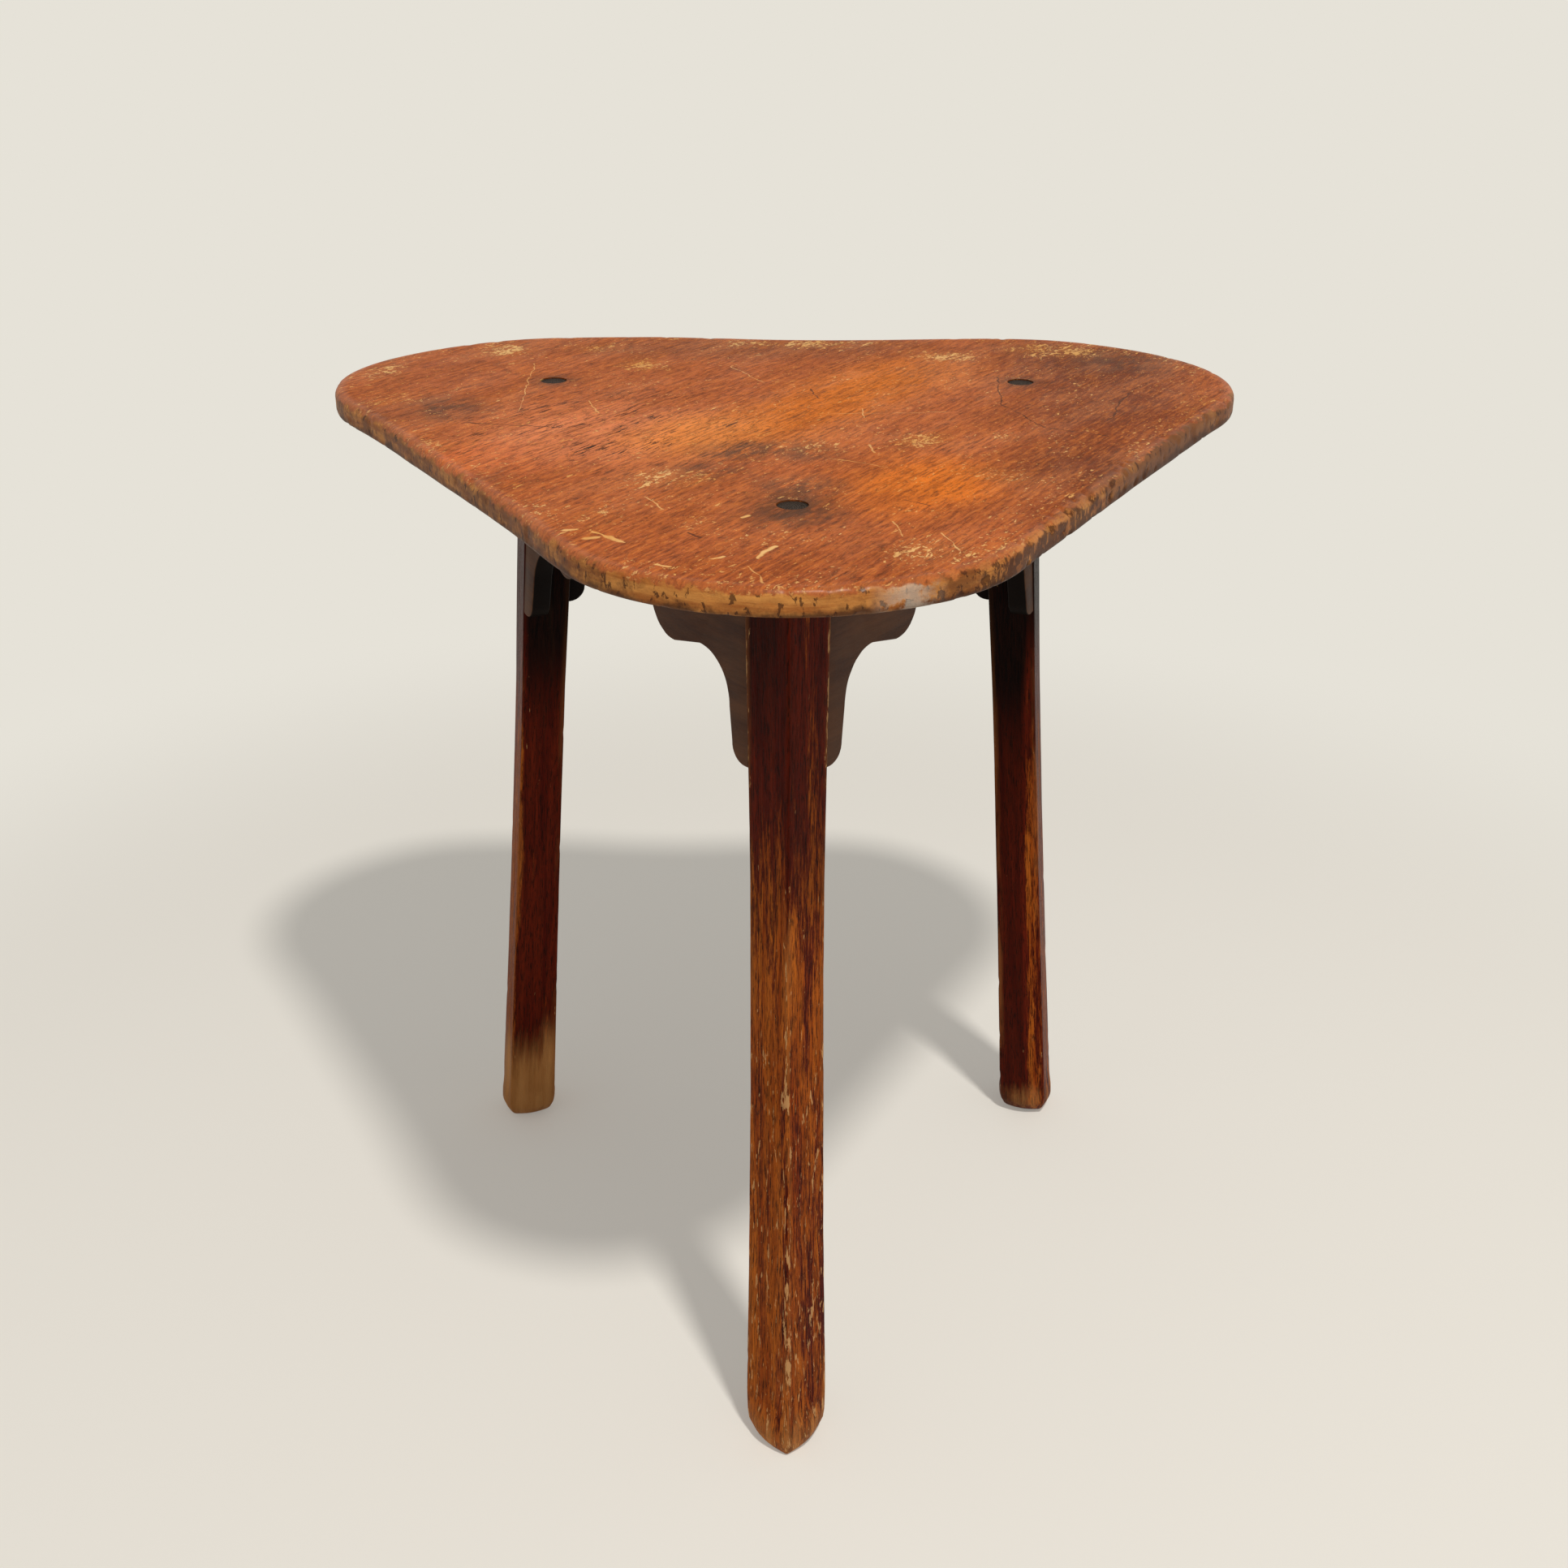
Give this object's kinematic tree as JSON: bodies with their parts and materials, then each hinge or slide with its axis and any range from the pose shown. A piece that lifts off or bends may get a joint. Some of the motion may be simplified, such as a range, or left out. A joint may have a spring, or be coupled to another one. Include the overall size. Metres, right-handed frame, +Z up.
{
  "type": "country table",
  "caption": "Tripod country table: a worn rounded-triangle wooden top to stand things on, splayed square legs pegged through it, and shaped brackets.",
  "frame": {"origin": "on the floor, under the middle of the bounding box of the top", "axes": "+Z up; the single front leg stands at -Y and the hollow back side of the top faces +Y"},
  "size_m": [0.7214, 0.6679, 0.735],
  "materials": {
    "top_varnish": "worn orange-brown varnish with scratches and bare edges",
    "leg_stain": "dark mahogany stain, satin, worn towards the feet",
    "bracket_stain": "dark brown stain, satin",
    "peg_end_grain": "dark bare end grain",
    "dowel_wood": "bare wood"
  },
  "bodies": {
    "root": {"table_top": "top_varnish", "leg_front": "leg_stain", "leg_back_right": "leg_stain", "leg_back_left": "leg_stain", "bracket_front_right": "bracket_stain", "bracket_front_left": "bracket_stain", "bracket_right_back": "bracket_stain", "bracket_right_front": "bracket_stain", "bracket_left_front": "bracket_stain", "bracket_left_back": "bracket_stain", "peg_front": "peg_end_grain", "peg_back_right": "peg_end_grain", "peg_back_left": "peg_end_grain", "bracket_top_dowels": "dowel_wood", "bracket_leg_dowels": "dowel_wood"}
  },
  "joints": []
}
